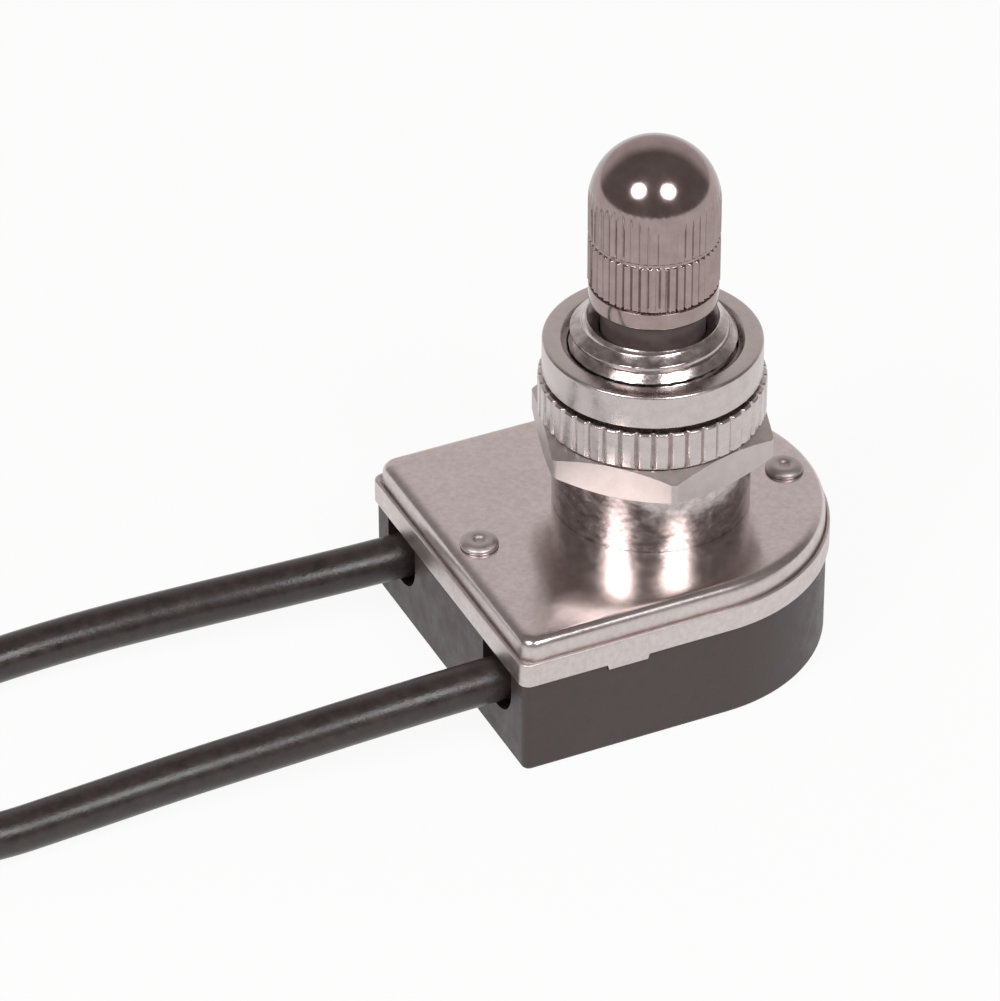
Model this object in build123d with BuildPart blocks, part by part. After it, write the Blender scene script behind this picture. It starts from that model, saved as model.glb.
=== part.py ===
from build123d import *
import os
from math import acos, degrees, pi, radians, sqrt, tan

# Rotary canopy switch, in millimetres.
# The origin is on the bushing's axis at the underside of the housing, +Z along the bushing,
# and the two leads leave the flat end towards -X.

# Outline of the body
body_width = 22.2
axis_to_flat = 13.95
corner_radius = 0.7

# Heights of the body
floor_height = 2.7
cover_height = 9.45
pan_rise = 1.4
skirt_depth = 1.65

# Cover
sheet = 0.5
pan_inset = 0.3
pan_corner_radius = 1.0
pan_edge_radius = 0.8
ledge_edge_radius = 0.2
skirt_lift = 0.05
tab_centre = -6.9
tab_width = 2.5
tab_drop = 0.35
tab_corner_radius = 0.28

# Housing
housing_inset = 0.2
base_edge_radius = 0.3
rim_clearance = 0.05
tab_clearance = 0.1
well_radius = 6.8
pocket_width = 4.0
pocket_wall = 2.75
pocket_end = -1.0
insulator_thickness = 0.4

# Rivets, one near the flat end and one near the round end
rivet_flat_inset = 2.15
rivet_flat_offset = -0.3
rivet_round_inset = 2.4
rivet_round_offset = -1.1
rivet_shank_radius = 0.95
rivet_hole_clearance = 0.05
rivet_head_radius = 1.2
rivet_head_height = 0.45
rivet_head_edge_radius = 0.3
rivet_dimple_radius = 0.5
rivet_dimple_floor_radius = 0.1
rivet_dimple_depth = 0.35
clinch_radius = 1.35
clinch_height = 0.5
clinch_recess = 0.3
clinch_clearance = 0.15

# Bushing
barrel_radius = 6.13
barrel_height = 4.26
thread_radius = 5.14
nose_height = 8.8
nose_chamfer = 0.5
barrel_chamfer = 0.25
neck_radius = 4.7
stake_radius = 5.2
stake_thickness = 0.4
stem_radius = 3.2
stem_clearance = 0.08
bore_chamfer = 0.4

# Nuts
thread_clearance = 0.06
seat_gap = 0.03
hex_across_flats = 13.65
hex_thickness = 2.2
hex_corner_trim = 0.35
hex_angle = 14.0
ring_radius = 7.0
ring_height = 2.7
ring_edge_chamfer = 0.25
ring_teeth = 42
ring_groove_width = 0.38
ring_groove_depth = 0.28
neck_groove_height = 0.3
neck_groove_radius = 6.35
collar_radius = 6.74
collar_height = 2.25
collar_rim_chamfer = 0.35
nut_countersink = 0.3

# Knob
knob_radius = 4.0
knob_length = 10.8
knob_gap = 1.6
knob_rim_height = 1.15
knob_rim_radius = 3.95
knob_rim_chamfer = 0.15
knurl_radius = 3.8
knurl_count = 48
knurl_depth = 0.27
knurl_break_height = 4.3
knurl_break_width = 0.4
knob_bore_depth = 6.5
spigot_radius = 2.0
spigot_end_clearance = 0.1

# Rotor and what it carries
cam_across_flats = 8.0
cam_lobe_radius = 4.7
cam_clearance = 0.25
pivot_radius = 1.2
pivot_depth = 1.5
pivot_clearance = 0.05
peg_radius = 0.45
peg_offset = 2.7
peg_proud = 0.15
blade_thickness = 0.4
blade_width = 2.6
blade_length = 10.8
blade_height = 0.75
washer_outer_radius = 3.0
washer_thickness = 0.25
washer_gap = 0.03

# Detent spring
leaf_thickness = 0.3
leaf_length = 10.4
leaf_height = 3.4
leaf_gap = 0.15
leaf_floor = 1.4
leaf_slot_clearance = 0.05

# Fixed contacts
strip_thickness = 0.4
strip_width = 1.6
pad_width = 1.6
pad_radius = 4.4
pad_reach = 1.0
pad_neck = -4.0
button_radius = 0.7
button_height = 0.2
crimp_radius = 0.95
crimp_inset = 0.7
crimp_length = 2.6
web_thickness = 0.4

# Leads
lead_diameter = 2.8
lead_inset = 4.1
lead_height = 4.5
lead_slot_radius = 2.0
conductor_radius = 0.55
insulation_inset = 3.05
conductor_bare = 3.7
lead_length = 152.4
tip_length = 8.0

# Hank of the length that lies beyond the visible stretch
tie_thickness = 0.4
tie_width = 2.4
tie_place = -81.3
hank_start = -69.0
hank_centre = 0.0
hank_loop_start = -83.0
lead_pitch = 2.9
loop_radius = 9.9

# Values that follow from those above
ledge_height = cover_height - pan_rise
skirt_floor = ledge_height - skirt_depth
shoulder_height = skirt_floor - skirt_lift
rivet_places = [
    (rivet_flat_inset - axis_to_flat, rivet_flat_offset),
    (body_width / 2 - rivet_round_inset, rivet_round_offset),
]
pocket_start = pocket_wall - axis_to_flat
lead_spacing = body_width - 2 * lead_inset
strip_start = insulation_inset - axis_to_flat
conductor_end = strip_start + conductor_bare
crimp_start = strip_start + crimp_inset
lead_radius = lead_diameter / 2
hank_height = lead_radius + tie_thickness
rim_inset = pan_inset + sheet + rim_clearance
rim_corner_radius = pan_corner_radius - sheet - rim_clearance
rim_height = cover_height - sheet - insulator_thickness
bushing_shoulder = cover_height + barrel_height
bushing_top = bushing_shoulder + nose_height
hex_floor = bushing_shoulder + seat_gap
ring_floor = hex_floor + hex_thickness + seat_gap
ring_top = ring_floor + ring_height
collar_floor = ring_top + neck_groove_height
collar_top = collar_floor + collar_height
nut_bore_radius = thread_radius + thread_clearance
knob_floor = bushing_top + knob_gap
knob_top = knob_floor + knob_length
blade_floor = floor_height + blade_height
cam_floor = blade_floor + blade_thickness
cam_top = cover_height - sheet - stake_thickness - cam_clearance
clinch_top = clinch_recess + clinch_height
leaf_place = cam_lobe_radius + leaf_gap

os.makedirs("parts", exist_ok=True)


def write(part, name):
    part.label = name
    export_step(part, f"parts/{name}.step")


def body_outline(inset, height, radius):
    """D-shaped face, moved in from the cover's outline by inset, at a height, with rounded corners."""
    with BuildSketch(Plane.XY.offset(height)) as outline:
        Circle(body_width / 2 - inset)
        with Locations((-(axis_to_flat - inset) / 2, 0)):
            Rectangle(axis_to_flat - inset, body_width - 2 * inset)
        fillet(outline.vertices().group_by(Axis.X)[0], radius)
    return outline.sketch


def revolved(points):
    """Solid turned about Z from a closed outline of (radius, height) points."""
    with BuildPart() as turned:
        with BuildSketch(Plane.XZ):
            with BuildLine():
                Polyline(*points, close=True)
            make_face()
        revolve(axis=Axis.Z)
    return turned.part


# Housing: one phenolic moulding with a round well, two terminal pockets and two open lead slots
with BuildPart() as housing:
    extrude(body_outline(housing_inset, 0, corner_radius - housing_inset), amount=shoulder_height)
    fillet(housing.faces().sort_by(Axis.Z)[0].edges(), base_edge_radius)
    extrude(body_outline(rim_inset, shoulder_height, rim_corner_radius), amount=rim_height - shoulder_height)
    with BuildSketch(Plane.XY.offset(floor_height)):
        Circle(well_radius)
        with Locations(((pocket_start + pocket_end) / 2, 0)):
            with GridLocations(0, lead_spacing, 1, 2):
                Rectangle(pocket_end - pocket_start, pocket_width)
    extrude(amount=rim_height - floor_height, mode=Mode.SUBTRACT)
    with BuildSketch(Plane.YZ.offset(-axis_to_flat)):
        with Locations((-lead_spacing / 2, lead_height), (lead_spacing / 2, lead_height)):
            Circle(lead_slot_radius)
        with Locations((0, (lead_height + rim_height) / 2)):
            with GridLocations(lead_spacing, 0, 2, 1):
                Rectangle(2 * lead_slot_radius, rim_height - lead_height)
    extrude(amount=axis_to_flat + pocket_start, mode=Mode.SUBTRACT)
    with BuildSketch(Plane.XY.offset(leaf_floor + floor_height)):
        with Locations((leaf_place + leaf_thickness / 2, 0)):
            Rectangle(leaf_thickness + 2 * leaf_slot_clearance, leaf_length + 2 * leaf_slot_clearance)
    extrude(amount=rim_height - leaf_floor - floor_height, mode=Mode.SUBTRACT)
    with BuildSketch(Plane.XY.offset(shoulder_height - tab_drop)):
        with Locations((tab_centre, -body_width / 2)):
            Rectangle(tab_width + 2 * tab_clearance, 2 * (sheet + tab_clearance))
    extrude(amount=tab_drop, mode=Mode.SUBTRACT)
    with Locations((0, 0, floor_height)):
        Hole(pivot_radius + pivot_clearance, depth=pivot_depth + pivot_clearance)
    with Locations(*[(x, y, rim_height) for x, y in rivet_places]):
        Hole(rivet_shank_radius + rivet_hole_clearance)
    with Locations(*rivet_places):
        Cylinder(
            clinch_radius + clinch_clearance,
            clinch_top,
            align=(Align.CENTER, Align.CENTER, Align.MIN),
            mode=Mode.SUBTRACT,
        )
write(housing.part, "housing")

# Cover plate: pressed sheet with a raised pan, a ledge, a skirt round the body and one tab
with BuildPart() as cover_plate:
    extrude(body_outline(0, skirt_floor, corner_radius), amount=ledge_height - skirt_floor)
    fillet(cover_plate.faces().sort_by(Axis.Z)[-1].edges(), ledge_edge_radius)
    extrude(body_outline(pan_inset, ledge_height, pan_corner_radius), amount=cover_height - ledge_height)
    fillet(cover_plate.faces().sort_by(Axis.Z)[-1].edges(), pan_edge_radius)
    extrude(
        body_outline(sheet, skirt_floor, corner_radius - sheet),
        amount=ledge_height - sheet - skirt_floor,
        mode=Mode.SUBTRACT,
    )
    extrude(
        body_outline(pan_inset + sheet, ledge_height - sheet, pan_corner_radius - sheet),
        amount=cover_height - ledge_height,
        mode=Mode.SUBTRACT,
    )
    with BuildSketch(Plane.XZ.offset(body_width / 2)) as tab:
        with Locations((tab_centre, skirt_floor - tab_drop / 2)):
            Rectangle(tab_width, tab_drop)
        fillet(tab.vertices().group_by(Axis.Y)[0], tab_corner_radius)
    extrude(amount=-sheet)
    with Locations((0, 0, cover_height)):
        Hole(neck_radius)
    with Locations(*[(x, y, cover_height) for x, y in rivet_places]):
        Hole(rivet_shank_radius + rivet_hole_clearance)
write(cover_plate.part, "cover_plate")

# Insulator plate: fibre sheet under the cover, open round the staked end of the bushing
with BuildPart() as insulator_plate:
    extrude(body_outline(rim_inset, rim_height, rim_corner_radius), amount=insulator_thickness)
    with Locations((0, 0, rim_height + insulator_thickness)):
        Hole(stake_radius + rim_clearance)
    with Locations(*[(x, y, rim_height + insulator_thickness) for x, y in rivet_places]):
        Hole(rivet_shank_radius + rivet_hole_clearance)
write(insulator_plate.part, "insulator_plate")

# Cover rivets: tubular rivets, rolled over with a dimple on the cover and clinched in the base
with BuildPart() as cover_rivets:
    with Locations(*[(x, y, clinch_top) for x, y in rivet_places]):
        Cylinder(rivet_shank_radius, cover_height - clinch_top, align=(Align.CENTER, Align.CENTER, Align.MIN))
    with Locations(*[(x, y, clinch_recess) for x, y in rivet_places]):
        Cylinder(clinch_radius, clinch_height, align=(Align.CENTER, Align.CENTER, Align.MIN))
    with Locations(*[(x, y, cover_height) for x, y in rivet_places]):
        Cylinder(rivet_head_radius, rivet_head_height, align=(Align.CENTER, Align.CENTER, Align.MIN))
    fillet(cover_rivets.faces().group_by(Axis.Z)[-1].edges(), rivet_head_edge_radius)
    with Locations(*[(x, y, cover_height + rivet_head_height) for x, y in rivet_places]):
        Cone(
            rivet_dimple_floor_radius,
            rivet_dimple_radius,
            rivet_dimple_depth,
            align=(Align.CENTER, Align.CENTER, Align.MAX),
            mode=Mode.SUBTRACT,
        )
write(cover_rivets.part, "cover_rivets")

# Bushing: turned, with a smooth barrel, a threaded nose and a lower end staked under the cover
cover_underside = cover_height - sheet
bushing_bore = stem_radius + stem_clearance
with BuildPart() as bushing:
    add(
        revolved(
            [
                (bushing_bore, cover_underside - stake_thickness),
                (stake_radius, cover_underside - stake_thickness),
                (stake_radius, cover_underside),
                (neck_radius, cover_underside),
                (neck_radius, cover_height),
                (barrel_radius, cover_height),
                (barrel_radius, bushing_shoulder - barrel_chamfer),
                (barrel_radius - barrel_chamfer, bushing_shoulder),
                (thread_radius, bushing_shoulder),
                (thread_radius, bushing_top - nose_chamfer),
                (thread_radius - nose_chamfer, bushing_top),
                (bushing_bore + bore_chamfer, bushing_top),
                (bushing_bore, bushing_top - bore_chamfer),
            ]
        )
    )
write(bushing.part, "bushing")

# Hex nut: hexagon with its corners trimmed to a cone on both faces
hex_corner_radius = hex_across_flats / sqrt(3)
hex_face_radius = hex_across_flats / 2
with BuildPart() as hex_nut:
    with BuildSketch(Plane.XY.offset(hex_floor)):
        RegularPolygon(hex_face_radius, 6, major_radius=False, rotation=hex_angle)
    extrude(amount=hex_thickness)
    add(
        revolved(
            [
                (0, hex_floor),
                (hex_face_radius, hex_floor),
                (hex_corner_radius, hex_floor + hex_corner_trim),
                (hex_corner_radius, hex_floor + hex_thickness - hex_corner_trim),
                (hex_face_radius, hex_floor + hex_thickness),
                (0, hex_floor + hex_thickness),
            ]
        ),
        mode=Mode.INTERSECT,
    )
    with Locations((0, 0, hex_floor + hex_thickness)):
        Hole(nut_bore_radius)
write(hex_nut.part, "hex_nut")

# Ring nut: knurled flange, turned groove and plain collar with a chamfered rim
with BuildPart() as ring_nut:
    add(
        revolved(
            [
                (nut_bore_radius, ring_floor),
                (ring_radius - ring_edge_chamfer, ring_floor),
                (ring_radius, ring_floor + ring_edge_chamfer),
                (ring_radius, ring_top),
                (neck_groove_radius, ring_top),
                (neck_groove_radius, collar_floor),
                (collar_radius, collar_floor),
                (collar_radius, collar_top - collar_rim_chamfer),
                (collar_radius - collar_rim_chamfer, collar_top),
                (nut_bore_radius + nut_countersink, collar_top),
                (nut_bore_radius, collar_top - nut_countersink),
            ]
        )
    )
    with BuildSketch(Plane.XY.offset(ring_floor)):
        with PolarLocations(ring_radius, ring_teeth):
            Rectangle(2 * ring_groove_depth, ring_groove_width)
    extrude(amount=ring_height, mode=Mode.SUBTRACT)
write(ring_nut.part, "ring_nut")

# Knob: turned with a dome and a break in the knurl, straight-knurled above a plain rim
knob_shoulder = knob_top - knob_radius
break_floor = knob_floor + knurl_break_height
rim_top = knob_floor + knob_rim_height
with BuildPart() as knob:
    with BuildSketch(Plane.XZ):
        with BuildLine():
            Polyline(
                (0, knob_floor),
                (knurl_radius, knob_floor),
                (knurl_radius, rim_top),
                (knob_radius, rim_top + knob_radius - knurl_radius),
                (knob_radius, break_floor),
                (knurl_radius, break_floor),
                (knurl_radius, break_floor + knurl_break_width),
                (knob_radius, break_floor + knurl_break_width),
                (knob_radius, knob_shoulder),
            )
            RadiusArc((knob_radius, knob_shoulder), (0, knob_top), -knob_radius)
            Line((0, knob_top), (0, knob_floor))
        make_face()
    revolve(axis=Axis.Z)
    with BuildSketch(Plane.XY.offset(knob_floor)) as knurl:
        Circle(knob_radius)
        with PolarLocations(knob_radius, knurl_count):
            RegularPolygon(knurl_depth, 3, rotation=180, mode=Mode.SUBTRACT)
    extrude(amount=knob_length, mode=Mode.INTERSECT)
    with Locations((0, 0, knob_floor)):
        Cylinder(knob_rim_radius, knob_rim_height, align=(Align.CENTER, Align.CENTER, Align.MIN))
    chamfer(knob.faces().sort_by(Axis.Z)[0].edges(), knob_rim_chamfer)
    with Locations((0, 0, knob_floor)):
        Cylinder(
            spigot_radius,
            knob_bore_depth,
            align=(Align.CENTER, Align.CENTER, Align.MIN),
            mode=Mode.SUBTRACT,
        )
write(knob.part, "knob")

# Rotor: phenolic stem and four-lobed cam in one moulding, with a pivot and two pegs below
with BuildPart() as rotor:
    with BuildSketch(Plane.XY.offset(cam_floor)):
        Rectangle(cam_across_flats, cam_across_flats)
        Circle(cam_lobe_radius, mode=Mode.INTERSECT)
    extrude(amount=cam_top - cam_floor)
    with BuildSketch(Plane.XY.offset(cam_top)):
        Circle(stem_radius)
    extrude(amount=knob_floor - cam_top)
    with BuildSketch(Plane.XY.offset(knob_floor)):
        Circle(spigot_radius)
    extrude(amount=knob_bore_depth - spigot_end_clearance)
    with BuildSketch(Plane.XY.offset(floor_height - pivot_depth)):
        Circle(pivot_radius)
    extrude(amount=cam_floor - floor_height + pivot_depth)
    with BuildSketch(Plane.XY.offset(blade_floor - peg_proud)):
        with Locations((-peg_offset, 0), (peg_offset, 0)):
            Circle(peg_radius)
    extrude(amount=cam_floor - blade_floor + peg_proud)
write(rotor.part, "rotor")

# Rotor contact: brass blade under the cam that bridges the two fixed contacts
with BuildPart() as rotor_contact:
    with BuildSketch(Plane.XY.offset(blade_floor)):
        SlotOverall(blade_length, blade_width)
        Circle(pivot_radius, mode=Mode.SUBTRACT)
        with Locations((-peg_offset, 0), (peg_offset, 0)):
            Circle(peg_radius, mode=Mode.SUBTRACT)
    extrude(amount=blade_thickness)
write(rotor_contact.part, "rotor_contact")

# Spring washer: dished, its wide edge on the housing floor and its narrow edge under the blade
washer_bore = pivot_radius + pivot_clearance
washer_top = blade_floor - washer_gap
with BuildPart() as spring_washer:
    add(
        revolved(
            [
                (washer_outer_radius, floor_height),
                (washer_outer_radius, floor_height + washer_thickness),
                (washer_bore, washer_top),
                (washer_bore, washer_top - washer_thickness),
            ]
        )
    )
write(spring_washer.part, "spring_washer")

# Detent spring: flat leaf that stands in two slots of the well beside the cam
with BuildPart() as detent_spring:
    with BuildSketch(Plane.XY.offset(floor_height + leaf_floor)):
        with Locations((leaf_place + leaf_thickness / 2, 0)):
            Rectangle(leaf_thickness, leaf_length)
    extrude(amount=leaf_height)
write(detent_spring.part, "detent_spring")


def fixed_contact(side):
    """Stamped contact on one side: pad and button in the well, strip, web and crimp barrel."""
    lead_y = side * lead_spacing / 2
    pad_y = side * pad_radius
    strip_y = lead_y - side * (strip_width - web_thickness) / 2
    neck_x = pad_neck + pad_width / 2
    with BuildPart() as contact:
        with BuildSketch(Plane.XY.offset(floor_height)):
            with Locations(((crimp_start + neck_x) / 2, strip_y)):
                Rectangle(neck_x - crimp_start, strip_width)
            with Locations((neck_x, (strip_y + pad_y) / 2)):
                Rectangle(pad_width, abs(strip_y - pad_y) + strip_width)
            with Locations(((pad_neck + pad_reach) / 2, pad_y)):
                Rectangle(pad_reach - pad_neck, pad_width)
        extrude(amount=strip_thickness)
        with BuildSketch(Plane.XY.offset(floor_height + strip_thickness)):
            with Locations((0, pad_y)):
                Circle(button_radius)
        extrude(amount=button_height)
        with BuildSketch(Plane.YZ.offset(crimp_start)):
            with Locations((lead_y, lead_height)):
                Circle(crimp_radius)
            with Locations((lead_y, (floor_height + lead_height) / 2)):
                Rectangle(web_thickness, lead_height - floor_height)
            with Locations((lead_y, lead_height)):
                Circle(conductor_radius, mode=Mode.SUBTRACT)
        extrude(amount=crimp_length)
    return contact.part


def conductor(side):
    """Bared inner end of a lead's conductor, through its crimp barrel."""
    with BuildPart() as core:
        with BuildSketch(Plane.YZ.offset(strip_start)):
            with Locations((side * lead_spacing / 2, lead_height)):
                Circle(conductor_radius)
        extrude(amount=conductor_end - strip_start)
    return core.part


def lead_tube(points):
    """Tube along straight runs joined by arcs as large as the runs allow, and its length."""
    places = [Vector(*point) for point in points]
    runs = [b - a for a, b in zip(places, places[1:])]
    radii = []
    for before, after in zip(runs, runs[1:]):
        half_turn = radians(before.get_angle(after)) / 2
        radii.append(0.45 * min(before.length, after.length) / tan(half_turn))
    with BuildPart() as tube:
        with BuildLine() as route:
            FilletPolyline(*points, radius=radii)
        with BuildSketch(Plane(route.line @ 0, z_dir=route.line % 0)):
            Circle(lead_radius)
        sweep()
    length = sum(edge.length for edge in route.edges())
    print("radii", [round(radius, 1) for radius in radii], "length", round(length, 1))
    print("volume ratio", round(tube.part.volume / (pi * lead_radius**2 * length), 4))
    return tube.part, length


# Routes of the two leads, from their crimped ends to the start of the hank
far_route = [
    (strip_start, lead_spacing / 2, lead_height),
    (-15.5, 7.03, 4.5),
    (-21.5, 7.97, 3.98),
    (-27.5, 9.45, 3.1),
    (-33.5, 10.7, 2.3),
    (-39.5, 11.3, 1.6),
    (-46.5, 10.6, 1.5),
    (-53.0, 8.0, 1.6),
    (-59.5, 5.2, hank_height),
    (-64.5, hank_centre + 1.5 * lead_pitch, hank_height),
    (hank_start, hank_centre + 1.5 * lead_pitch, hank_height),
]
near_route = [
    (strip_start, -lead_spacing / 2, lead_height),
    (-15.5, -7.02, 4.5),
    (-21.5, -6.5, 3.95),
    (-27.5, -5.65, 3.0),
    (-33.5, -5.0, 2.25),
    (-40.0, -4.75, 1.6),
    (-47.0, -5.1, 1.5),
    (-53.5, -2.6, 1.6),
    (-59.0, 0.15, hank_height),
    (-64.5, hank_centre + 0.5 * lead_pitch, hank_height),
    (hank_start, hank_centre + 0.5 * lead_pitch, hank_height),
]
lead_far, far_tube_length = lead_tube(far_route)
lead_near, near_tube_length = lead_tube(near_route)
contact_far = fixed_contact(1)
contact_near = fixed_contact(-1)
conductor_far = conductor(1)
conductor_near = conductor(-1)
write(lead_far, "lead_far")
write(lead_near, "lead_near")
write(contact_far, "contact_far")
write(contact_near, "contact_near")
write(conductor_far, "conductor_far")
write(conductor_near, "conductor_near")

# Lead hank: both leads side by side, folded once into a loop and laid back beside themselves
fold_angle = degrees(acos((lead_pitch + loop_radius) / (2 * loop_radius)))
half_pitch = lead_pitch / 2
wall_thickness_at_slot = axis_to_flat - housing_inset + strip_start
run_out_length = hank_start - hank_loop_start


def insulation_end(tube_length, loop_offset):
    """Where a lead's insulation ends on its way back, for a strand moved out in the loop by loop_offset."""
    shoulders = 2 * radians(fold_angle) * (loop_radius - loop_offset)
    loop_length = radians(180 + 2 * fold_angle) * (loop_radius + loop_offset)
    outside = tube_length - wall_thickness_at_slot + run_out_length + shoulders + loop_length
    return hank_loop_start + lead_length - tip_length - outside


far_insulation_end = insulation_end(far_tube_length, half_pitch)
near_insulation_end = insulation_end(near_tube_length, -half_pitch)
print("insulation ends at", round(far_insulation_end, 1), round(near_insulation_end, 1))
with BuildPart() as lead_hank:
    with BuildSketch(Plane.XY.offset(tie_thickness)):
        with BuildLine():
            run_out = Line((hank_start, hank_centre + lead_pitch), (hank_loop_start, hank_centre + lead_pitch))
            shoulder_out = JernArc(run_out @ 1, (-1, 0), loop_radius, -fold_angle)
            loop = JernArc(shoulder_out @ 1, shoulder_out % 1, loop_radius, 180 + 2 * fold_angle)
            shoulder_back = JernArc(loop @ 1, loop % 1, loop_radius, -fold_angle)
            Line(shoulder_back @ 1, (far_insulation_end, hank_centre - lead_pitch))
        trace(line_width=lead_pitch + lead_diameter)
        with Locations(((far_insulation_end + near_insulation_end) / 2, hank_centre - half_pitch)):
            Rectangle(near_insulation_end - far_insulation_end, lead_diameter)
    extrude(amount=lead_diameter)
write(lead_hank.part, "lead_hank")

# Bared tips: stripped and tinned ends that lie beyond the insulation in the hank
with BuildPart() as bared_tips:
    with BuildSketch(Plane.YZ.offset(far_insulation_end)):
        with Locations((hank_centre - 3 * half_pitch, hank_height)):
            Circle(conductor_radius)
    extrude(amount=tip_length)
    with BuildSketch(Plane.YZ.offset(near_insulation_end)):
        with Locations((hank_centre - half_pitch, hank_height)):
            Circle(conductor_radius)
    extrude(amount=tip_length)
write(bared_tips.part, "bared_tips")

# Lead tie: flat plastic-coated band round the four runs of the hank
with BuildPart() as lead_tie:
    with BuildSketch(Plane.YZ.offset(tie_place)):
        with Locations((hank_centre, hank_height)):
            RectangleRounded(
                4 * lead_pitch + 2 * tie_thickness,
                lead_diameter + 2 * tie_thickness,
                2 * tie_thickness,
            )
            Rectangle(4 * lead_pitch, lead_diameter, mode=Mode.SUBTRACT)
    extrude(amount=tie_width / 2, both=True)
write(lead_tie.part, "lead_tie")
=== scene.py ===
import math

import bmesh
import bpy
import numpy as np
from mathutils import Matrix, Vector


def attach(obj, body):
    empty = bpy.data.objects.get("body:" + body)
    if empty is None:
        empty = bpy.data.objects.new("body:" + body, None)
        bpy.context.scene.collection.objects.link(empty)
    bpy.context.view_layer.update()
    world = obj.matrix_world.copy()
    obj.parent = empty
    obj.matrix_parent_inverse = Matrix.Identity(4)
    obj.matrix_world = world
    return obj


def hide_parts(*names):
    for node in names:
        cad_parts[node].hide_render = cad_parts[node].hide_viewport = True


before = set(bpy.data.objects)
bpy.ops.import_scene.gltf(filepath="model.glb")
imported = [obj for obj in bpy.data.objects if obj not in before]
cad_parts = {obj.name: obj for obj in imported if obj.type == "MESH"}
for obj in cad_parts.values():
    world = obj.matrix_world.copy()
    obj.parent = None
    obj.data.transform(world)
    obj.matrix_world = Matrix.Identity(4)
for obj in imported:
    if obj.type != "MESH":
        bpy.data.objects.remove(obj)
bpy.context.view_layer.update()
scene = bpy.context.scene
scene.view_settings.view_transform = "Standard"

# Camera
# A long lens above the corner between the flat end and the near side. Its place, aim and turn were
# solved from the edges of the body, the nuts and the knob as the photograph shows them.
azimuth, elevation, roll = (math.radians(angle) for angle in (-24.936, 35.242, -0.237))
sight = Vector(
    (
        -math.sin(azimuth) * math.cos(elevation),
        math.cos(azimuth) * math.cos(elevation),
        -math.sin(elevation),
    )
)
level_right = Vector((math.cos(azimuth), math.sin(azimuth), 0))
level_up = level_right.cross(sight)
camera_right = level_right * math.cos(roll) + level_up * math.sin(roll)
camera_up = level_up * math.cos(roll) - level_right * math.sin(roll)
lens = bpy.data.cameras.new("camera")
lens.sensor_fit = "VERTICAL"
lens.sensor_height = 36
lens.lens = 210.36
lens.clip_start = 0.01
lens.clip_end = 10
camera = bpy.data.objects.new("camera", lens)
camera.matrix_world = Matrix.Translation((-0.1327, -0.263367, 0.217288)) @ (
    Matrix((camera_right, camera_up, -sight)).transposed().to_4x4()
)
scene.collection.objects.link(camera)
scene.camera = camera


# Leads
# Two stranded 18-gauge wires in extruded black vinyl, crimped inside the housing. They run out of
# the flat end, drop to the surface and are put away beyond the view as one folded hank.


def paint(hex_colour):
    """Linear colour, with full cover, of an sRGB hex value."""
    channels = np.array([int(hex_colour[i : i + 2], 16) for i in (1, 3, 5)]) / 255
    linear = np.where(channels <= 0.04045, channels / 12.92, ((channels + 0.055) / 1.055) ** 2.4)
    return [*linear.tolist(), 1.0]


def add_node(tree, kind, inputs=None, **settings):
    """Adds a node with its settings; inputs gives each socket a value or the output that feeds it."""
    new = tree.nodes.new(kind)
    for name, value in settings.items():
        setattr(new, name, value)
    for key, value in (inputs or {}).items():
        if isinstance(value, bpy.types.NodeSocket):
            tree.links.new(value, new.inputs[key])
        else:
            new.inputs[key].default_value = value
    return new


def new_finish(name, **values):
    """Material with its values set on the shader's own sockets; returns it, its tree and the shader."""
    material = bpy.data.materials.new(name)
    material.use_nodes = True
    shader = material.node_tree.nodes["Principled BSDF"]
    for key, value in values.items():
        shader.inputs[key.replace("_", " ")].default_value = value
    return material, material.node_tree, shader


def grain(tree, per_mm, detail=3.0, stretch=(1, 1, 1)):
    """Noise on the object's own coordinates, with so many grains to a millimetre along each axis."""
    place = add_node(tree, "ShaderNodeTexCoord").outputs["Object"]
    scaled = add_node(
        tree, "ShaderNodeMapping", {"Vector": place, "Scale": [1000 * per_mm * s for s in stretch]}
    )
    return add_node(
        tree,
        "ShaderNodeTexNoise",
        {"Vector": scaled.outputs["Vector"], "Scale": 1.0, "Detail": detail, "Roughness": 0.6},
    ).outputs["Fac"]


def spread(tree, value, low, high, start=0.3, end=0.7):
    """The value's range from start to end, spread over low to high."""
    return add_node(
        tree,
        "ShaderNodeMapRange",
        {"Value": value, "From Min": start, "From Max": end, "To Min": low, "To Max": high},
    ).outputs["Result"]


def blend_colours(tree, factor, first, second):
    """Mix of two colours by a factor."""
    mixed = add_node(
        tree, "ShaderNodeMix", {0: factor, 6: first, 7: second}, data_type="RGBA", blend_type="MIX"
    )
    return mixed.outputs[2]


def tint(tree, shader, value, dark, light):
    """Base colour between two sRGB hex values, as a noise says."""
    mixed = blend_colours(tree, spread(tree, value, 0, 1), paint(dark), paint(light))
    tree.links.new(mixed, shader.inputs["Base Color"])


def vary_roughness(tree, shader, value, low, high):
    """Roughness from low to high, as a noise says."""
    tree.links.new(spread(tree, value, low, high), shader.inputs["Roughness"])


def add_relief(tree, shader, height, depth_mm):
    """Bump of so many millimetres from a height."""
    bump = add_node(tree, "ShaderNodeBump", {"Height": height, "Distance": depth_mm / 1000})
    tree.links.new(bump.outputs["Normal"], shader.inputs["Normal"])


# Plasticised PVC, extruded: a half-gloss skin with a faint dull bloom and fine draw marks.
vinyl, tree, shader = new_finish("black_vinyl", Roughness=0.4, IOR=1.53, Specular_IOR_Level=0.5)
bloom = grain(tree, 1.2, detail=5)
tint(tree, shader, bloom, "#261F1E", "#3B3230")
vary_roughness(tree, shader, bloom, 0.27, 0.38)
add_relief(tree, shader, grain(tree, 4.0), 0.02)

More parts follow.
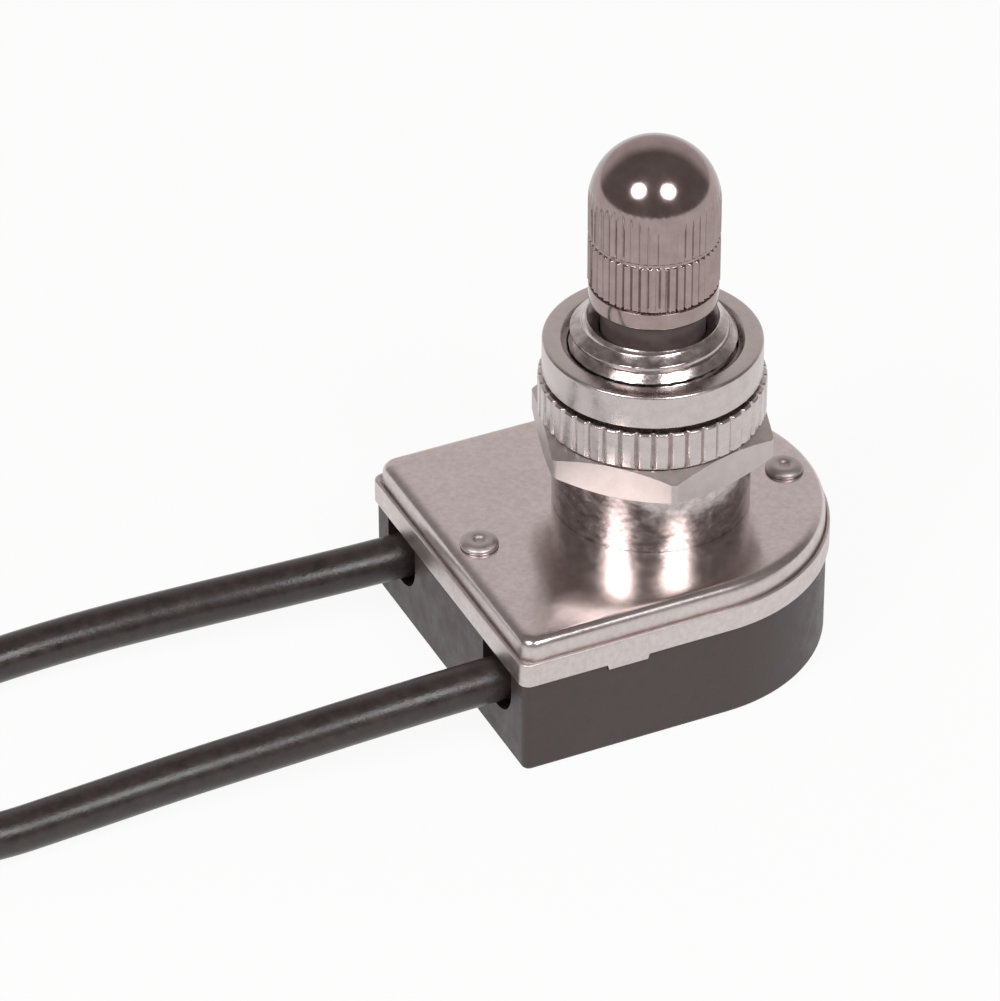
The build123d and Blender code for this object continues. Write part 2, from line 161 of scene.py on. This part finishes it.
lead_radius = 0.0014
far_start = [
    (-0.0109, 0.0070, 0.0045),
    (-0.0155, 0.00703, 0.0045),
    (-0.0215, 0.00797, 0.00398),
    (-0.0275, 0.00945, 0.0031),
    (-0.0335, 0.0107, 0.0023),
    (-0.0395, 0.0113, 0.0016),
    (-0.0465, 0.0106, 0.0015),
    (-0.0530, 0.0080, 0.0016),
    (-0.0595, 0.0052, 0.0018),
    (-0.0645, 0.00435, 0.0018),
    (-0.0690, 0.00435, 0.0018),
]
near_start = [
    (-0.0109, -0.0070, 0.0045),
    (-0.0155, -0.00702, 0.0045),
    (-0.0215, -0.0065, 0.00395),
    (-0.0275, -0.00565, 0.0030),
    (-0.0335, -0.0050, 0.00225),
    (-0.0400, -0.00475, 0.0016),
    (-0.0470, -0.0051, 0.0015),
    (-0.0535, -0.0026, 0.0016),
    (-0.0590, 0.00015, 0.0018),
    (-0.0645, 0.00145, 0.0018),
    (-0.0690, 0.00145, 0.0018),
]
hank_height = 0.0018
fold_turn = 49.72
shoulder_x, shoulder_y = -0.083, 0.0128
loop_x = -0.098105


def bend_points(centre, radius, start, turn, count):
    """Control points of one bend of the hank: they stand on a circle about the bend's centre, each in
    the middle of its share of the turn, and as far out as makes the curve touch the bend's radius."""
    angles = np.radians(start + turn * (np.arange(count) + 0.5) / count)
    reach = radius / math.cos(math.radians(turn / count / 2))
    return np.stack(
        [
            centre[0] + reach * np.cos(angles),
            centre[1] + reach * np.sin(angles),
            np.full(count, hank_height),
        ],
        axis=1,
    ).tolist()


def hank_points(side_out, side_back, shoulder, loop, insulation_end):
    """A lead's control points through the hank: out, a shoulder, the round loop, the other shoulder
    and back beside itself to the end of the insulation."""
    return [
        (shoulder_x + 0.22 * shoulder, side_out, hank_height),
        *bend_points((shoulder_x, shoulder_y), shoulder, -90, -fold_turn, 2),
        *bend_points((loop_x, 0.0), loop, 90 - fold_turn, 180 + 2 * fold_turn, 10),
        *bend_points((shoulder_x, -shoulder_y), shoulder, 90 + fold_turn, -fold_turn, 2),
        (shoulder_x + 0.22 * shoulder, side_back, hank_height),
        (insulation_end, side_back, hank_height),
    ]


def lay_lead(name, points):
    """A lead: one smooth spline along its control points, with the insulation's round section."""
    curve = bpy.data.curves.new(name, "CURVE")
    curve.dimensions = "3D"
    curve.resolution_u = 12
    curve.bevel_depth = lead_radius
    curve.bevel_resolution = 8
    curve.use_fill_caps = True
    spline = curve.splines.new("NURBS")
    spline.points.add(len(points) - 1)
    spline.points.foreach_set("co", np.c_[points, np.ones(len(points))].ravel())
    spline.order_u = 3
    spline.use_endpoint_u = True
    curve.materials.append(vinyl)
    lead = bpy.data.objects.new(name, curve)
    scene.collection.objects.link(lead)
    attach(lead, "body")
    return lead


# Stripped ends
# Each lead ends in 8 mm of bared conductor: sixteen tinned copper strands of 0.25 mm, one in
# the middle, five twisted round it and ten outside.
tinned_copper, tree, shader = new_finish("tinned_copper_strand", Metallic=1.0, Roughness=0.34)
tin = grain(tree, 3.0)
tint(tree, shader, tin, "#B5B1AC", "#DAD6D0")
vary_roughness(tree, shader, tin, 0.26, 0.44)


def skin(name, grid, material, body, closed_rows=False, sharp=35):
    """Mesh piece from a grid of points in millimetres, in rows and columns.

    Each row closes into a ring, and the rows close into a loop where closed_rows says so. Points that
    coincide, as at a pole, become one, faces turn outwards and edges over the sharp angle stay sharp."""
    rows, columns = grid.shape[:2]
    index = np.arange(rows * columns).reshape(rows, columns)
    lower = index if closed_rows else index[:-1]
    upper = np.roll(index, -1, axis=0) if closed_rows else index[1:]
    quads = np.stack([lower, np.roll(lower, -1, 1), np.roll(upper, -1, 1), upper], axis=-1)
    mesh = bpy.data.meshes.new(name)
    mesh.from_pydata((grid.reshape(-1, 3) / 1000).tolist(), [], quads.reshape(-1, 4).tolist())
    shell = bmesh.new()
    shell.from_mesh(mesh)
    bmesh.ops.remove_doubles(shell, verts=shell.verts, dist=1e-6)
    bmesh.ops.recalc_face_normals(shell, faces=shell.faces)
    shell.to_mesh(mesh)
    shell.free()
    mesh.shade_smooth()
    mesh.set_sharp_from_angle(angle=math.radians(sharp))
    mesh.materials.append(material)
    piece = bpy.data.objects.new(name, mesh)
    scene.collection.objects.link(piece)
    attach(piece, body)
    return piece


bared_length = 8.0


def twisted_strands(start, length, ring_radius, count, wire_radius, turns):
    """Helical wires round a lead's axis: at a share t of the length each centre stands at its ring
    radius and at its own angle plus t times the turns; the wire's section is a circle across the axis,
    shrunk to a point at both ends. Returns one grid for each wire."""
    t = np.r_[0, np.linspace(0, 1, 20), 1][None, :, None]
    size = np.r_[0, np.ones(20), 0][None, :, None] * wire_radius
    own = np.arange(count)[:, None, None] / count
    swing = 2 * np.pi * (own + turns * t)
    section = 2 * np.pi * np.arange(8)[None, None, :] / 8
    y = start[1] + ring_radius * np.cos(swing) + size * np.cos(section)
    z = start[2] + ring_radius * np.sin(swing) + size * np.sin(section)
    return np.stack([np.broadcast_to(start[0] + length * t, y.shape), y, z], axis=-1)


def strip_end(name, start):
    """The bared strands of one lead, from the end of its insulation."""
    wires = np.concatenate(
        [
            twisted_strands(start, bared_length, 0.0, 1, 0.13, 0),
            twisted_strands(start, bared_length, 0.22, 5, 0.125, 0.5),
            twisted_strands(start, bared_length, 0.425, 10, 0.125, 0.7),
        ]
    )
    return [
        skin(f"{name}_{i}", wire, tinned_copper, "body")
        for i, wire in enumerate(wires)
    ]


far_tip = strip_end("far_strand", (-79.5, -4.35, 1.8))
near_tip = strip_end("near_strand", (-70.2, -1.45, 1.8))
far_points = far_start + hank_points(0.00435, -0.00435, 0.00845, 0.01135, -0.0795)
near_points = near_start + hank_points(0.00145, -0.00145, 0.01135, 0.00845, -0.0702)
far_lead = lay_lead("far_lead", far_points)
near_lead = lay_lead("near_lead", near_points)
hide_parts("lead_far", "lead_hank")
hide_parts("lead_near")
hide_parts("bared_tips")


# Housing and rotor
# The D-shaped base and the turning stem are compression-moulded phenolic: a dark brown-black resin
# with wood-flour filler, dull where it left the mould and a little greyer in random clouds. The stem's
# colours are painted lighter than the base's, as painted light for the shade it stands in under the
# knob.


def moulded(name, dark, light):
    """Phenolic finish between two colours, with the filler's clouds and a fine grain."""
    material, tree, shader = new_finish(name, Roughness=0.46, IOR=1.6)
    filler = grain(tree, 0.9, detail=6)
    tint(tree, shader, filler, dark, light)
    vary_roughness(tree, shader, filler, 0.4, 0.56)
    add_relief(tree, shader, grain(tree, 3.5, detail=4), 0.02)
    return material


def dress(node, material):
    """Gives a CAD node its finish."""
    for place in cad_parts[node].material_slots:
        place.material = material


dress("housing", moulded("moulded_phenolic", "#332726", "#423432"))
# Stem: the same resin as the base, painted lighter to make up for the shade under the knob.
dress("rotor", moulded("phenolic_stem_painted_lighter", "#544846", "#665856"))


# Cover plate
# Steel sheet of 0.5 mm, drawn into a shallow pan with a step and a skirt round the body, and barrel
# nickel-plated: the flat top mirrors bushing and lamps softly, and the drawn walls are duller.
nickel_sheet, tree, shader = new_finish("nickel_plated_sheet", Metallic=1.0, Roughness=0.14)
cloud = grain(tree, 0.35, detail=5)
speck = grain(tree, 2.6, detail=2)
tint(tree, shader, speck, "#CBC0BE", "#D8CFCD")
place = add_node(tree, "ShaderNodeTexCoord").outputs["Object"]
height = add_node(tree, "ShaderNodeSeparateXYZ", {0: place}).outputs["Z"]
drawn = spread(tree, height, 0.22, 0, start=0.0088, end=0.0094)
clouded = spread(tree, cloud, 0.13, 0.23)
roughness = add_node(tree, "ShaderNodeMath", {0: clouded, 1: drawn}, operation="ADD")
tree.links.new(roughness.outputs[0], shader.inputs["Roughness"])
add_relief(tree, shader, speck, 0.003)

body_half_width = 11.1
axis_to_flat = 13.95
hole_radius = 4.7


def body_outline(inset, corner):
    """Points round the D-shaped body, moved in by the inset: the flat end, its two rounded corners, the
    two straight sides and the half circle, with the same number of points on each whatever the inset.
    The sides have two columns more at each edge of the skirt's tab."""
    side = body_half_width - inset
    end = inset - axis_to_flat
    quarter = np.radians(np.linspace(0, 90, 9))
    tab_columns = [0.3736, 0.3811, 0.5774, 0.5849]
    straight = np.sort(np.r_[np.arange(1, 14) / 14, tab_columns])
    half = np.radians(np.linspace(-90, 90, 97))
    near_side = np.c_[end + corner + (-end - corner) * straight, np.full(straight.size, -side)]
    near_corner = [end + corner, corner - side] - corner * np.c_[np.cos(quarter), np.sin(quarter)]
    flat = np.linspace(1, -1, 24)[1:-1] * (side - corner)
    return np.concatenate(
        [
            near_corner,
            near_side,
            side * np.c_[np.cos(half), np.sin(half)],
            near_side[::-1] * [1, -1],
            near_corner[::-1] * [1, -1],
            np.c_[np.full(flat.size, end), flat],
        ]
    )


def eased(corners, steps=5):
    """Profile whose corners are rounded: each corner (distance, height, ..., ease) becomes a parabola
    that leaves one edge and meets the next as far from the corner as its ease says."""
    corners = np.array(corners, float)
    here, ease = corners[:, None, :-1], corners[:, None, -1:]
    before, after = np.roll(here, 1, axis=0) - here, np.roll(here, -1, axis=0) - here
    start = here + ease * before / np.maximum(np.linalg.norm(before, axis=-1, keepdims=True), 1e-9)
    end = here + ease * after / np.maximum(np.linalg.norm(after, axis=-1, keepdims=True), 1e-9)
    t = np.linspace(0, 1, steps)[None, :, None]
    return ((1 - t) ** 2 * start + 2 * t * (1 - t) * here + t**2 * end).reshape(-1, here.shape[-1])


cover_steps = 9
cover_profile = eased(
    [
        (0.5, 6.4, 0.2, 0.03),
        (0.0, 6.4, 0.7, 0.12),
        (0.0, 8.05, 0.7, 0.16),
        (0.18, 8.05, 0.8, 0.03),
        (0.3, 7.88, 1.0, 0.03),
        (0.3, 9.45, 1.0, 0.85),
        (1.9, 9.45, 0.1, 0.0),
        (1.9, 8.95, 0.1, 0.0),
        (0.8, 8.95, 0.5, 0.15),
        (0.8, 7.55, 0.5, 0.08),
        (0.5, 7.55, 0.2, 0.08),
    ],
    cover_steps,
)
top_row = cover_steps * 7
cover_rows = []
for inset, height, corner in cover_profile:
    ring = body_outline(inset, corner)
    cover_rows.append(np.c_[ring, np.full(len(ring), height)])
rim = body_outline(1.9, 0.1)
hole = rim / np.linalg.norm(rim, axis=1, keepdims=True) * hole_radius


def pan_rows(height, shares):
    """Rows from the pan's rim to its middle hole, each a share of the way between the two."""
    return [np.c_[rim + (hole - rim) * share, np.full(len(rim), height)] for share in shares]


inward = np.linspace(0, 1, 7)[1:]
cover_grid = np.array(
    cover_rows[:top_row] + pan_rows(9.45, inward) + pan_rows(8.95, inward[::-1]) + cover_rows[top_row:]
)
tab_centre, tab_half_width, tab_drop = -6.9, 1.4, 0.35
tab_share = np.clip((tab_half_width - np.abs(cover_grid[..., 0] - tab_centre)) / 0.1, 0, 1)
in_tab = (cover_grid[..., 1] < -10.5) & (cover_grid[..., 2] < 6.6)
cover_grid[..., 2] -= np.where(in_tab, tab_drop * tab_share, 0)
cover = skin("cover", cover_grid, nickel_sheet, "body", closed_rows=True)
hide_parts("cover_plate")


# Rivets
# Two tubular rivets of plated brass hold cover and base together: their rolled ends stand on the
# cover as small domes with a dimple. Tumbling, as on the hex nut, has made their plate dull.
nickel_part, tree, shader = new_finish("nickel_plated_part", Metallic=1.0, Roughness=0.24)
patina = grain(tree, 1.4, detail=5)
tint(tree, shader, patina, "#BEB4B2", "#CFC6C4")
vary_roughness(tree, shader, patina, 0.22, 0.34)
add_relief(tree, shader, grain(tree, 3.0), 0.005)

tumbled_nickel, tree, shader = new_finish("tumbled_nickel_plate", Metallic=1.0, Roughness=0.5)
tumbling = grain(tree, 1.0, detail=5)
tint(tree, shader, tumbling, "#BEB4B2", "#CFC6C4")
vary_roughness(tree, shader, tumbling, 0.4, 0.5)
add_relief(tree, shader, grain(tree, 3.0), 0.005)


def turned(profile, columns=128, centre=(0, 0)):
    """Grid of a profile of (radius, height) turned about an upright axis at the centre."""
    angles = 2 * np.pi * np.arange(columns) / columns
    radius, height = profile[:, :1], profile[:, 1:]
    return np.stack(
        [
            centre[0] + radius * np.cos(angles),
            centre[1] + radius * np.sin(angles),
            np.broadcast_to(height, (len(profile), columns)),
        ],
        axis=-1,
    )


rivet_profile = eased(
    [
        (0.0, 0.3, 0.0),
        (1.35, 0.3, 0.05),
        (1.35, 0.8, 0.05),
        (0.95, 0.8, 0.0),
        (0.95, 9.45, 0.0),
        (1.2, 9.47, 0.02),
        (1.2, 9.68, 0.1),
        (0.86, 9.93, 0.25),
        (0.42, 9.88, 0.1),
        (0.24, 9.72, 0.08),
        (0.0, 9.7, 0.0),
    ]
)
for name, centre in (("rivet_flat", (-11.8, -0.3)), ("rivet_round", (8.7, -1.1))):
    rivet = skin(name, turned(rivet_profile, 48, centre), tumbled_nickel, "body")
    if name == "rivet_flat":
        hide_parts("cover_rivets")


# Bushing
# Turned steel tube, plated: a smooth barrel below and a fine straight pipe thread above, whose last
# turns show in the collar of the ring nut. The bright plate is mottled by stains and lathe marks.
turned_nickel, tree, shader = new_finish("turned_nickel_plate", Metallic=1.0, Roughness=0.16)
lathe_marks = grain(tree, 1.3, detail=5, stretch=(1, 1, 1.4))
tint(tree, shader, lathe_marks, "#A39896", "#D8CFCD")
vary_roughness(tree, shader, lathe_marks, 0.14, 0.28)
add_relief(tree, shader, lathe_marks, 0.012)

barrel_profile = eased(
    [
        (3.28, 8.55, 0.0),
        (5.2, 8.55, 0.05),
        (5.2, 8.95, 0.0),
        (4.7, 8.95, 0.0),
        (4.7, 9.45, 0.0),
        (6.13, 9.47, 0.0),
        (6.13, 13.71, 0.25),
        (5.14, 13.71, 0.0),
    ]
)
thread_pitch, thread_depth, thread_outside = 0.94, 0.4, 5.14
thread_gone, thread_full = 3.9, 5.1
nose_top, nose_radius = 22.75, 4.1
thread_heights = np.linspace(13.75, nose_top, 280)
turn_angles = 2 * np.pi * np.arange(160) / 160
thread_phase = (thread_heights[:, None] / thread_pitch - turn_angles[None, :] / (2 * np.pi) + 0.22) % 1
groove = 1 - 2 * np.abs(thread_phase - 0.5)
chamfer_radius = nose_radius + nose_top - thread_heights[:, None]
thread_radius = np.minimum(thread_outside, chamfer_radius)
thread_share = np.clip((thread_radius - thread_gone) / (thread_full - thread_gone), 0, 1)
thread_radius = thread_radius - thread_depth * groove * thread_share
thread_grid = np.stack(
    [
        thread_radius * np.cos(turn_angles),
        thread_radius * np.sin(turn_angles),
        np.broadcast_to(thread_heights[:, None], thread_radius.shape),
    ],
    axis=-1,
)
bore_profile = eased(
    [
        (4.03, nose_top, 0.0),
        (3.95, nose_top - 0.1, 0.05),
        (3.28, nose_top - 0.8, 0.1),
        (3.28, 8.6, 0.0),
    ]
)
bushing = skin(
    "threaded_bushing",
    np.concatenate([turned(barrel_profile, 160), thread_grid, turned(bore_profile, 160)]),
    turned_nickel,
    "body",
    closed_rows=True,
)
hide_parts("bushing")


# Hex nut
# Machined hexagon nut, plated and tumbled dull, its corners cut back by a cone on both faces.
hex_across, hex_height, hex_floor = 13.65, 2.2, 13.74
hex_turn = 14.0
hex_round, hex_trim = 0.5, 0.5
hex_corner = hex_across / math.sqrt(3)
bend_middle = np.array([hex_across / 2 - hex_round, (hex_across / 2 - hex_round) / math.sqrt(3)])
bend_turn = np.radians(np.linspace(0, 60, 9))
hex_side = np.concatenate(
    [
        np.c_[np.full(14, hex_across / 2), np.linspace(-1, 1, 15)[:-1] * bend_middle[1]],
        bend_middle + hex_round * np.c_[np.cos(bend_turn), np.sin(bend_turn)][:-1],
    ]
)
hex_places = hex_side @ [1, 1j] * np.exp(1j * np.radians(hex_turn + 30 + 60 * np.arange(6)))[:, None]
hex_angles, flat_radius = np.angle(hex_places.ravel()), np.abs(hex_places.ravel())
trim = hex_trim * (flat_radius - hex_across / 2) / (hex_corner - hex_across / 2)
flat = np.ones_like(flat_radius)
hex_rows = [
    (5.2 * flat, 0 * flat),
    (6.3 * flat, 0 * flat),
    (6.8 * flat, 0 * flat),
    (flat_radius, trim),
    (flat_radius, hex_height - trim),
    (6.8 * flat, hex_height * flat),
    (6.3 * flat, hex_height * flat),
    (5.35 * flat, hex_height * flat),
    (5.2 * flat, (hex_height - 0.15) * flat),
]
hex_radii, hex_heights = np.array(hex_rows).transpose(1, 0, 2)
hex_grid = np.stack(
    [
        hex_radii * np.cos(hex_angles),
        hex_radii * np.sin(hex_angles),
        hex_floor + hex_heights,
    ],
    axis=-1,
)
hex_nut = skin(
    "hexagon_nut", hex_grid, tumbled_nickel, "hex_nut", closed_rows=True, sharp=20
)
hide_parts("hex_nut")


# Ring nut
# Turned face nut: a flange with broad straight knurling for the fingers, a turned groove and a plain
# collar with a chamfered rim, countersunk round the thread.
ring_teeth, tooth_depth = 42, 0.22
flange_radius, collar_radius = 7.0, 6.74
ring_columns = ring_teeth * 14
ring_angles = 2 * np.pi * np.arange(ring_columns) / ring_columns
tooth_phase = (ring_angles * ring_teeth / (2 * np.pi)) % 1
tooth_valley = np.clip(1 - np.abs(tooth_phase - 0.5) / 0.2, 0, 1) ** 1.2
ring_profile = eased(
    [
        (5.2, 15.97, 0.0),
        (6.75, 15.97, 0.04),
        (flange_radius, 16.22, 0.06),
        (flange_radius, 18.67, 0.22),
        (5.9, 18.67, 0.05),
        (5.9, 18.97, 0.05),
        (collar_radius, 18.97, 0.06),
        (collar_radius, 21.22, 0.22),
        (5.62, 21.22, 0.08),
        (5.2, 20.85, 0.05),
    ]
)
ring_grid = turned(ring_profile, ring_columns)
past_collar = np.clip((ring_profile[:, :1] - collar_radius) / 0.24, 0, 1)
in_flange = np.where(ring_profile[:, 1:] < 18.8, past_collar, 0)
tooth_share = in_flange * tooth_valley[None, :]
ring_grid[..., :2] *= (1 - tooth_depth / flange_radius * tooth_share)[..., None]
ring_nut = skin(
    "knurled_ring_nut", ring_grid, nickel_part, "ring_nut", closed_rows=True, sharp=50
)
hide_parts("ring_nut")


# Knob
# Brass turned with a dome, knurled straight and plated in a darker nickel than the nuts. The knurl
# runs out on the dome, is broken by a narrow turned line and stops above a plain rim.
dark_nickel, tree, shader = new_finish("dark_nickel_plate", Metallic=1.0, Roughness=0.1)
smoke = grain(tree, 0.8, detail=5)
tint(tree, shader, smoke, "#978684", "#A89795")
vary_roughness(tree, shader, smoke, 0.11, 0.18)
add_relief(tree, shader, grain(tree, 3.0), 0.002)

knob_floor, knob_shoulder, knob_radius = 24.11, 30.91, 4.0
corner_steps = 5
lower_corners = [
    (0.0, knob_floor + 6.5, 0.0),
    (2.0, knob_floor + 6.5, 0.0),
    (2.0, knob_floor, 0.05),
    (3.95, knob_floor, 0.15),
    (3.95, knob_floor + 1.15, 0.05),
    (3.8, knob_floor + 1.15, 0.02),
    (knob_radius, knob_floor + 1.35, 0.03),
    (knob_radius, 28.41, 0.05),
    (3.82, 28.5, 0.05),
    (3.82, 28.72, 0.05),
    (knob_radius, 28.81, 0.05),
]
# The last corner only steers the one before it; its own points are left out.
above_corners = (knob_radius, 29.8, 0.0)
dome_angles = np.radians(np.linspace(0, 90, 40))
knob_profile = np.concatenate(
    [
        eased([*lower_corners, above_corners], corner_steps)[:-corner_steps],
        np.c_[np.full(6, knob_radius), np.linspace(29.0, knob_shoulder, 6, endpoint=False)],
        np.c_[knob_radius * np.cos(dome_angles), knob_shoulder + knob_radius * np.sin(dome_angles)],
    ]
)
knurl_count = 48
knob_columns = knurl_count * 10
knob_grid = turned(knob_profile, knob_columns)
knurl_phase = (np.arange(knob_columns) * knurl_count / knob_columns) % 1
knurl_valley = 1 - np.abs(2 * knurl_phase - 1) ** 1.5
knurl_depth = np.where(knob_profile[:, 1:] > 28.6, 0.13, 0.18)
knurled_to = knob_radius - knurl_depth * knurl_valley[None, :]
outside = (knob_profile[:, 1:] > knob_floor + 1.16) & (knob_profile[:, :1] > 2.5)
knob_radii = np.where(outside, np.minimum(knob_profile[:, :1], knurled_to), knob_profile[:, :1])
knob_grid[..., :2] *= (knob_radii / np.maximum(knob_profile[:, :1], 1e-6))[..., None]
knob = skin("domed_knob", knob_grid, dark_nickel, "knob", sharp=50)
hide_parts("knob")


# Inner parts
# What the closed body holds: a brass bridging blade and two brass terminals, tinned wire ends in
# their crimps, a spring-steel washer and leaf, and the grey-brown fibre sheet under the cover.
brass, tree, shader = new_finish("stamped_brass", Metallic=1.0, Roughness=0.32)
rolled = grain(tree, 1.0, detail=4, stretch=(0.4, 3, 3))
tint(tree, shader, rolled, "#C9A45C", "#E0C07C")
vary_roughness(tree, shader, rolled, 0.26, 0.4)
spring_steel, tree, shader = new_finish("blued_spring_steel", Metallic=1.0, Roughness=0.3)
temper = grain(tree, 0.7, detail=4)
tint(tree, shader, temper, "#77777C", "#9A9894")
fibre, tree, shader = new_finish("vulcanised_fibre", Roughness=0.75, IOR=1.5)
fleck = grain(tree, 2.0, detail=5)
tint(tree, shader, fleck, "#4E3D33", "#6B5748")
for node, material in {
    "rotor_contact": brass,
    "contact_far": brass,
    "contact_near": brass,
    "conductor_far": tinned_copper,
    "conductor_near": tinned_copper,
    "spring_washer": spring_steel,
    "detent_spring": spring_steel,
    "insulator_plate": fibre,
    "lead_tie": vinyl,
}.items():
    dress(node, material)


# Floor and light
# White table paper, two round soft lamps high on either side of the camera, as the pairs of
# highlights on knob, nuts and barrel show, and a dim room that is paler behind the object.
paper = bpy.data.materials.new("white_paper")
paper.use_nodes = True
tree = paper.node_tree
tree.nodes.clear()
ray = add_node(tree, "ShaderNodeLightPath")
seen = ray.outputs["Is Camera Ray"]
for kind in ("Is Glossy Ray", "Is Transmission Ray"):
    either = add_node(tree, "ShaderNodeMath", {0: seen, 1: ray.outputs[kind]}, operation="MAXIMUM")
    seen = either.outputs[0]
share = add_node(tree, "ShaderNodeMath", {0: seen, 1: 0.92}, operation="MULTIPLY")
matt = add_node(tree, "ShaderNodeBsdfDiffuse", {"Color": paint("#F2F2F2")})
glow = add_node(tree, "ShaderNodeEmission", {"Color": (1, 1, 1, 1), "Strength": 1.0})
mixed = add_node(
    tree, "ShaderNodeMixShader", {0: share.outputs[0], 1: matt.outputs[0], 2: glow.outputs[0]}
)
add_node(tree, "ShaderNodeOutputMaterial", {"Surface": mixed.outputs[0]})
floor_mesh = bpy.data.meshes.new("floor")
corners = [(x, y, -0.00003) for x, y in ((-3, -3), (3, -3), (3, 3), (-3, 3))]
floor_mesh.from_pydata(corners, [], [(0, 1, 2, 3)])
floor_mesh.materials.append(paper)
floor = bpy.data.objects.new("floor", floor_mesh)
scene.collection.objects.link(floor)


def bearing(turn, height):
    """Unit vector at an azimuth and elevation in degrees."""
    turn, height = math.radians(turn), math.radians(height)
    across = math.cos(height)
    return Vector((math.cos(turn) * across, math.sin(turn) * across, math.sin(height)))


for name, turn, height, power in (("lamp_left", -155, 42.5, 1.55), ("lamp_right", -85, 43.5, 1.6)):
    light = bpy.data.lights.new(name, "AREA")
    light.shape = "DISK"
    light.size = 0.26
    light.energy = power
    lamp = bpy.data.objects.new(name, light)
    away = bearing(turn, height)
    lamp.matrix_world = Matrix.Translation(Vector((0, 0, 0.02)) + 0.6 * away) @ (
        away.to_track_quat("Z", "Y").to_matrix().to_4x4()
    )
    scene.collection.objects.link(lamp)

world = bpy.data.worlds.new("room")
world.use_nodes = True
scene.world = world
tree = world.node_tree
tree.nodes.clear()
direction = add_node(tree, "ShaderNodeTexCoord").outputs["Generated"]
stretched = add_node(
    tree, "ShaderNodeVectorMath", {0: direction, 1: (1, 1, 1.5)}, operation="MULTIPLY"
)
unit = add_node(tree, "ShaderNodeVectorMath", {0: stretched.outputs[0]}, operation="NORMALIZE")
towards = add_node(
    tree, "ShaderNodeVectorMath", {0: unit.outputs[0], 1: bearing(64, 0)}, operation="DOT_PRODUCT"
)
paler = spread(tree, towards.outputs["Value"], 0, 1, start=0.38, end=0.66)
room = blend_colours(tree, paler, (0.22, 0.2, 0.195, 1), (0.71, 0.665, 0.66, 1))
background = add_node(tree, "ShaderNodeBackground", {"Color": room, "Strength": 1.0})
add_node(tree, "ShaderNodeOutputWorld", {"Surface": background.outputs[0]})
